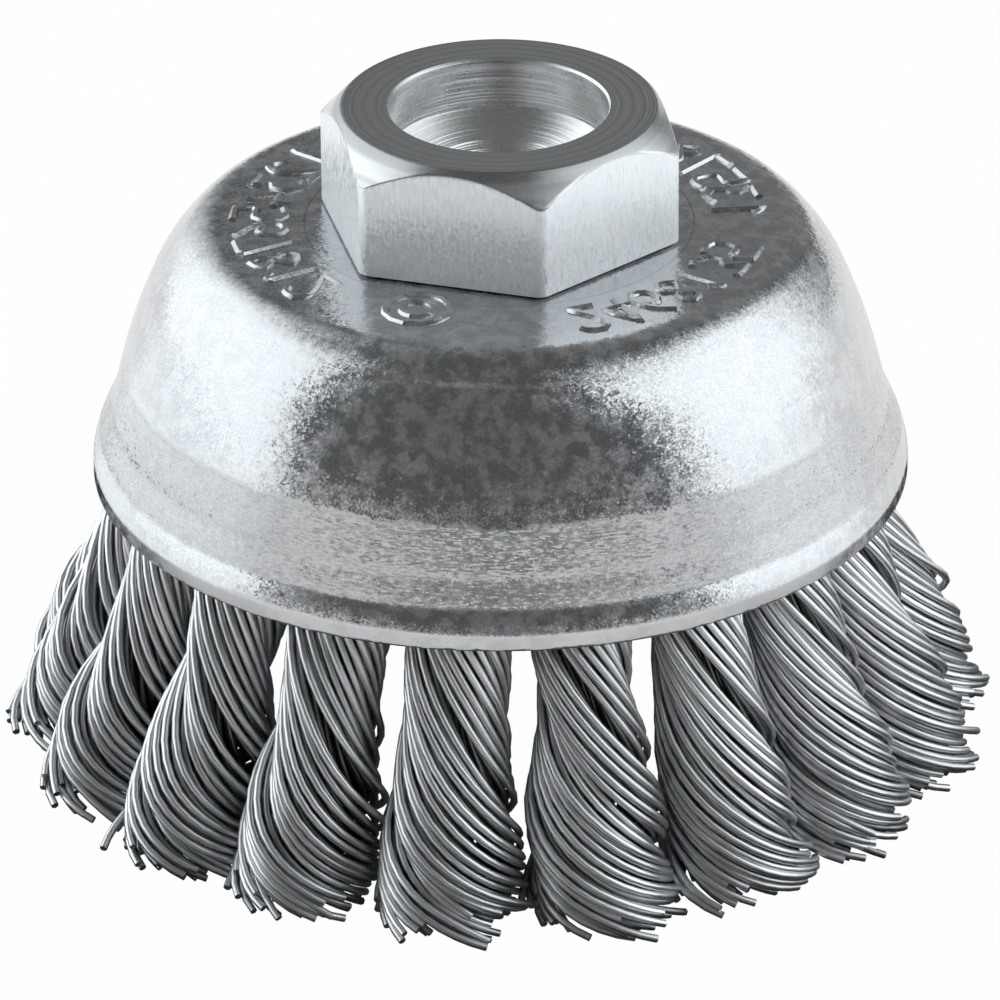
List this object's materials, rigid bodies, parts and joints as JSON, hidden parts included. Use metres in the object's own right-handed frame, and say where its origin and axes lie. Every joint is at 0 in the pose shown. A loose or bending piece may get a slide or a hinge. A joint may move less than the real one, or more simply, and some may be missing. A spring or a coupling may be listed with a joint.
{
  "type": "wire cup brush",
  "caption": "Knotted wire cup brush: pressed zinc-plated cup, hexagon nut with a threaded spindle bore, and a ring of twisted steel wire knots that lean outwards below the lip.",
  "frame": {"origin": "centre of the circle of knot tips, on the level that the brush stands on", "axes": "+Z along the spindle axis, from the knot tips up to the nut's face; -Y faces one flat of the hexagon"},
  "size_m": [0.067, 0.0662, 0.0461],
  "materials": {
    "nut_plating": "turned and zinc plated",
    "cup_plating": "pressed and zinc plated, fine grain",
    "holder_steel": "pressed, plain",
    "knot_wire": "drawn wire, grey"
  },
  "bodies": {
    "root": {"arbor_nut": "nut_plating", "cup_shell": "cup_plating", "wire_holder": "holder_steel", "wire_knot_01": "knot_wire", "wire_knot_02": "knot_wire", "wire_knot_03": "knot_wire", "wire_knot_04": "knot_wire", "wire_knot_05": "knot_wire", "wire_knot_06": "knot_wire", "wire_knot_07": "knot_wire", "wire_knot_08": "knot_wire", "wire_knot_09": "knot_wire", "wire_knot_10": "knot_wire", "wire_knot_11": "knot_wire", "wire_knot_12": "knot_wire", "wire_knot_13": "knot_wire", "wire_knot_14": "knot_wire", "wire_knot_15": "knot_wire", "wire_knot_16": "knot_wire", "wire_knot_17": "knot_wire", "wire_knot_18": "knot_wire"}
  },
  "joints": []
}
